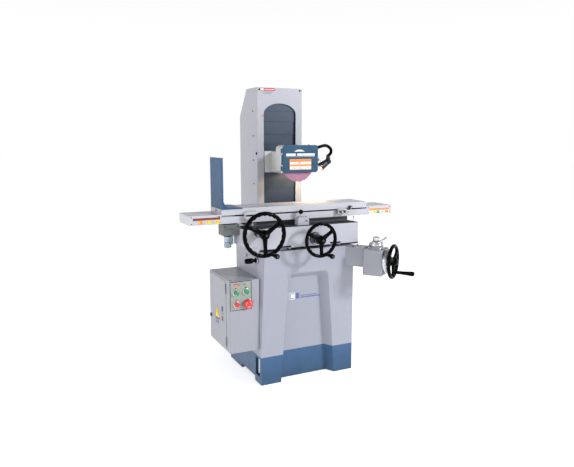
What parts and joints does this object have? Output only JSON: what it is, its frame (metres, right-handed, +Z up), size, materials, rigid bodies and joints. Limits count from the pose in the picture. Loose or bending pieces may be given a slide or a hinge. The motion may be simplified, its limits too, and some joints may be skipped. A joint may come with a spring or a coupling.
{
  "type": "surface grinder",
  "caption": "Manual surface grinder: cast base and column, cross slide, long table with stops, wheel head with hinged guard, three handwheels, way covers and an electrical cabinet.",
  "frame": {"origin": "on the floor, at the centre of the four anchor holes", "axes": "+Z up; +X to the operator's right, along the table's travel; +Y to the back, along the spindle. The operator stands at -Y."},
  "size_m": [1.291, 0.9389, 1.697],
  "materials": {
    "machine_paint": "semi-gloss light grey enamel",
    "column_paint": "semi-gloss light grey enamel",
    "cabinet_paint": "semi-gloss light grey enamel",
    "guard_blue": "gloss blue enamel",
    "splash_blue": "satin blue enamel",
    "way_cover_slate": "satin dark slate",
    "black_enamel": "gloss black enamel",
    "black_bakelite": "gloss",
    "ground_iron": "ground",
    "steel": "turned and ground",
    "screw_steel": "blackened",
    "dial_chrome": "satin chrome",
    "bronze": "cast bronze",
    "abrasive_pink": "coarse vitrified grit",
    "rubber_mat": "matt",
    "clear_bowl": "clear, oily",
    "lubricator_grey": "satin cast",
    "motor_paint": "satin",
    "panel_beige": "satin",
    "button_green": "gloss",
    "button_red": "gloss",
    "switchgear_grey": "satin",
    "lamp_enamel": "semi-gloss"
  },
  "bodies": {
    "machine": {"base_casting": "machine_paint", "cross_feed_nut": "bronze", "column_casting": "machine_paint", "column_cover": "column_paint", "column_screws": "screw_steel", "fixed_way_covers": "way_cover_slate", "elevating_bracket": "machine_paint", "cabinet_shell": "cabinet_paint", "control_panel": "panel_beige", "switchgear": "switchgear_grey", "oiler_pump": "steel"},
    "saddle": {"saddle_casting": "machine_paint", "saddle_top_mat": "rubber_mat", "stop_block": "ground_iron", "lubricator_bracket": "lubricator_grey", "lubricator_bowls": "clear_bowl"},
    "table": {"table_casting": "ground_iron", "table_rack": "steel", "table_end_covers": "machine_paint", "splash_guard": "splash_blue", "stop_rod": "black_enamel"},
    "left_dog": {"stop_dog_left": "steel"},
    "right_dog": {"stop_dog_right": "steel"},
    "plunger": {"stop_plunger": "black_bakelite"},
    "table_wheel": {"table_handwheel": "black_enamel", "table_handwheel_shaft": "steel"},
    "table_wheel_grip": {"table_grip": "black_bakelite"},
    "rack_pinion": {"table_pinion": "steel"},
    "cross_wheel": {"cross_handwheel": "black_enamel", "cross_feed_screw": "steel"},
    "cross_wheel_grip": {"cross_grip": "black_bakelite"},
    "elevating_wheel": {"elevating_handwheel": "black_enamel", "elevating_shaft": "dial_chrome"},
    "elevating_wheel_grip": {"elevating_grip": "black_bakelite"},
    "lifting_screw": {"elevating_screw": "steel"},
    "fine_feed": {"fine_feed_knob": "dial_chrome"},
    "clamp_lever": {"elevating_clamp_lever": "black_bakelite"},
    "way_plate_upper_1": {"way_cover_upper_1": "way_cover_slate"},
    "way_plate_upper_2": {"way_cover_upper_2": "way_cover_slate"},
    "way_plate_upper_3": {"way_cover_upper_3": "way_cover_slate"},
    "way_plate_lower_1": {"way_cover_lower_1": "way_cover_slate"},
    "way_plate_lower_2": {"way_cover_lower_2": "way_cover_slate"},
    "head": {"head_casting": "machine_paint", "head_way_covers": "way_cover_slate", "spindle_bearings": "steel", "spindle_motor": "motor_paint", "wheel_guard": "machine_paint", "lamp_arm": "black_enamel"},
    "wheel_spindle": {"spindle": "steel", "grinding_wheel": "abrasive_pink"},
    "wheel_door": {"guard_door": "guard_blue"},
    "door_knob": {"door_clamp_knob": "black_bakelite"},
    "lamp": {"lamp_head": "lamp_enamel"},
    "cabinet_leaf": {"cabinet_door": "cabinet_paint"},
    "latch": {"cabinet_latch": "black_bakelite"},
    "start": {"start_button": "button_green"},
    "table_start": {"table_button": "button_green"},
    "stop": {"stop_button": "button_red"},
    "emergency": {"emergency_stop": "button_red"},
    "oil_pump_handle": {"oiler_grip": "black_bakelite"}
  },
  "joints": [
    {"name": "saddle_slide", "type": "slide", "parent": "machine", "child": "saddle", "axis": [0, 1, 0], "range_m": [-0.085, 0.085]},
    {"name": "table_slide", "type": "slide", "parent": "saddle", "child": "table", "axis": [1, 0, 0], "range_m": [-0.2025, 0.225]},
    {"name": "table_handwheel_turn", "type": "hinge", "parent": "saddle", "child": "table_wheel", "pos_m": [-0.325, -0.315, 0.892], "axis": [0, -1, 0], "range_deg": [-810, 900]},
    {"name": "table_grip_spin", "type": "hinge", "parent": "table_wheel", "child": "table_wheel_grip", "pos_m": [-0.29132, -0.315, 0.78833], "axis": [0, -1, 0], "continuous": true},
    {"name": "table_pinion_turn", "type": "hinge", "parent": "saddle", "child": "rack_pinion", "pos_m": [-0.325, -0.12, 0.925], "axis": [0, -1, 0], "range_deg": [-900, 810]},
    {"name": "cross_handwheel_turn", "type": "hinge", "parent": "saddle", "child": "cross_wheel", "pos_m": [0.015, -0.315, 0.839], "axis": [0, -1, 0], "range_deg": [-6120, 6120]},
    {"name": "cross_grip_spin", "type": "hinge", "parent": "cross_wheel", "child": "cross_wheel_grip", "pos_m": [0.04458, -0.315, 0.75772], "axis": [0, -1, 0], "continuous": true},
    {"name": "elevating_handwheel_turn", "type": "hinge", "parent": "machine", "child": "elevating_wheel", "pos_m": [0.44961, -0.39149, 0.692], "axis": [0.6157, -0.788, 0], "range_deg": [-17280, 28800]},
    {"name": "elevating_grip_spin", "type": "hinge", "parent": "elevating_wheel", "child": "elevating_wheel_grip", "pos_m": [0.4886, -0.36102, 0.61863], "axis": [0.6157, -0.788, 0], "continuous": true},
    {"name": "elevating_screw_turn", "type": "hinge", "parent": "machine", "child": "lifting_screw", "pos_m": [-0.0336, 0.227, 1.1], "axis": [0, 0, 1], "range_deg": [-14400, 8640]},
    {"name": "head_slide", "type": "slide", "parent": "machine", "child": "head", "axis": [0, 0, 1], "range_m": [-0.12, 0.2]},
    {"name": "way_plate_upper_1_slide", "type": "slide", "parent": "machine", "child": "way_plate_upper_1", "axis": [0, 0, 1], "range_m": [-0.0984, 0.164]},
    {"name": "way_plate_upper_2_slide", "type": "slide", "parent": "machine", "child": "way_plate_upper_2", "axis": [0, 0, 1], "range_m": [-0.0624, 0.104]},
    {"name": "way_plate_upper_3_slide", "type": "slide", "parent": "machine", "child": "way_plate_upper_3", "axis": [0, 0, 1], "range_m": [-0.0264, 0.044]},
    {"name": "way_plate_lower_1_slide", "type": "slide", "parent": "machine", "child": "way_plate_lower_1", "axis": [0, 0, 1], "range_m": [-0.0984, 0.164]},
    {"name": "way_plate_lower_2_slide", "type": "slide", "parent": "machine", "child": "way_plate_lower_2", "axis": [0, 0, 1], "range_m": [-0.054, 0.09]},
    {"name": "spindle_turn", "type": "hinge", "parent": "head", "child": "wheel_spindle", "pos_m": [0, 0.1, 1.248], "axis": [0, 1, 0], "continuous": true},
    {"name": "guard_door_hinge", "type": "hinge", "parent": "head", "child": "wheel_door", "pos_m": [-0.1145, -0.079, 1.278], "axis": [0, 0, -1], "range_deg": [0, 110]},
    {"name": "door_clamp_knob_turn", "type": "hinge", "parent": "head", "child": "door_knob", "pos_m": [0.136, -0.062, 1.27], "axis": [1, 0, 0], "continuous": true},
    {"name": "lamp_tilt", "type": "hinge", "parent": "head", "child": "lamp", "pos_m": [0.22, -0.025, 1.29], "axis": [0, 1, 0], "range_deg": [-20, 20]},
    {"name": "left_dog_slide", "type": "slide", "parent": "table", "child": "left_dog", "axis": [1, 0, 0], "range_m": [-0.04, 0.005]},
    {"name": "right_dog_slide", "type": "slide", "parent": "table", "child": "right_dog", "axis": [1, 0, 0], "range_m": [-0.005, 0.06]},
    {"name": "stop_plunger_pull", "type": "slide", "parent": "saddle", "child": "plunger", "axis": [0, 0, 1], "range_m": [0, 0.012], "stiffness_N_per_m": 500, "springref_m": -0.004},
    {"name": "fine_feed_knob_turn", "type": "hinge", "parent": "machine", "child": "fine_feed", "pos_m": [0.38558, -0.30953, 0.8], "axis": [0, 0, 1], "continuous": true},
    {"name": "elevating_clamp_turn", "type": "hinge", "parent": "machine", "child": "clamp_lever", "pos_m": [0.4286, -0.2899, 0.79], "axis": [0, 0, 1], "range_deg": [-35, 35]},
    {"name": "cabinet_door_hinge", "type": "hinge", "parent": "machine", "child": "cabinet_leaf", "pos_m": [-0.48, -0.118, 0.4175], "axis": [0, 0, 1], "range_deg": [0, 110]},
    {"name": "cabinet_latch_turn", "type": "hinge", "parent": "cabinet_leaf", "child": "latch", "pos_m": [-0.477, 0.14, 0.353], "axis": [1, 0, 0], "range_deg": [0, 90]},
    {"name": "start_button_press", "type": "slide", "parent": "machine", "child": "start", "axis": [0, 1, 0], "range_m": [0, 0.004], "stiffness_N_per_m": 600, "springref_m": -0.002},
    {"name": "table_button_press", "type": "slide", "parent": "machine", "child": "table_start", "axis": [0, 1, 0], "range_m": [0, 0.004], "stiffness_N_per_m": 600, "springref_m": -0.002},
    {"name": "stop_button_press", "type": "slide", "parent": "machine", "child": "stop", "axis": [0, 1, 0], "range_m": [0, 0.004], "stiffness_N_per_m": 600, "springref_m": -0.002},
    {"name": "emergency_stop_press", "type": "slide", "parent": "machine", "child": "emergency", "axis": [0, 1, 0], "range_m": [0, 0.005], "stiffness_N_per_m": 1500, "springref_m": -0.002},
    {"name": "oiler_pull", "type": "slide", "parent": "machine", "child": "oil_pump_handle", "axis": [-1, 0, 0], "range_m": [0, 0.025], "stiffness_N_per_m": 250, "springref_m": -0.006}
  ],
  "couplings": [
    {"joint": "table_slide", "follows": "table_handwheel_turn", "m_per_rad": 0.01432},
    {"joint": "table_pinion_turn", "follows": "table_handwheel_turn", "ratio": -1},
    {"joint": "saddle_slide", "follows": "cross_handwheel_turn", "m_per_rad": -0.00079577},
    {"joint": "elevating_screw_turn", "follows": "elevating_handwheel_turn", "ratio": -0.5},
    {"joint": "head_slide", "follows": "elevating_handwheel_turn", "m_per_rad": 0.00039789},
    {"joint": "way_plate_upper_1_slide", "follows": "elevating_handwheel_turn", "m_per_rad": 0.00032627},
    {"joint": "way_plate_upper_2_slide", "follows": "elevating_handwheel_turn", "m_per_rad": 0.0002069},
    {"joint": "way_plate_upper_3_slide", "follows": "elevating_handwheel_turn", "m_per_rad": 0.000087535},
    {"joint": "way_plate_lower_1_slide", "follows": "elevating_handwheel_turn", "m_per_rad": 0.00032627},
    {"joint": "way_plate_lower_2_slide", "follows": "elevating_handwheel_turn", "m_per_rad": 0.00017905}
  ]
}
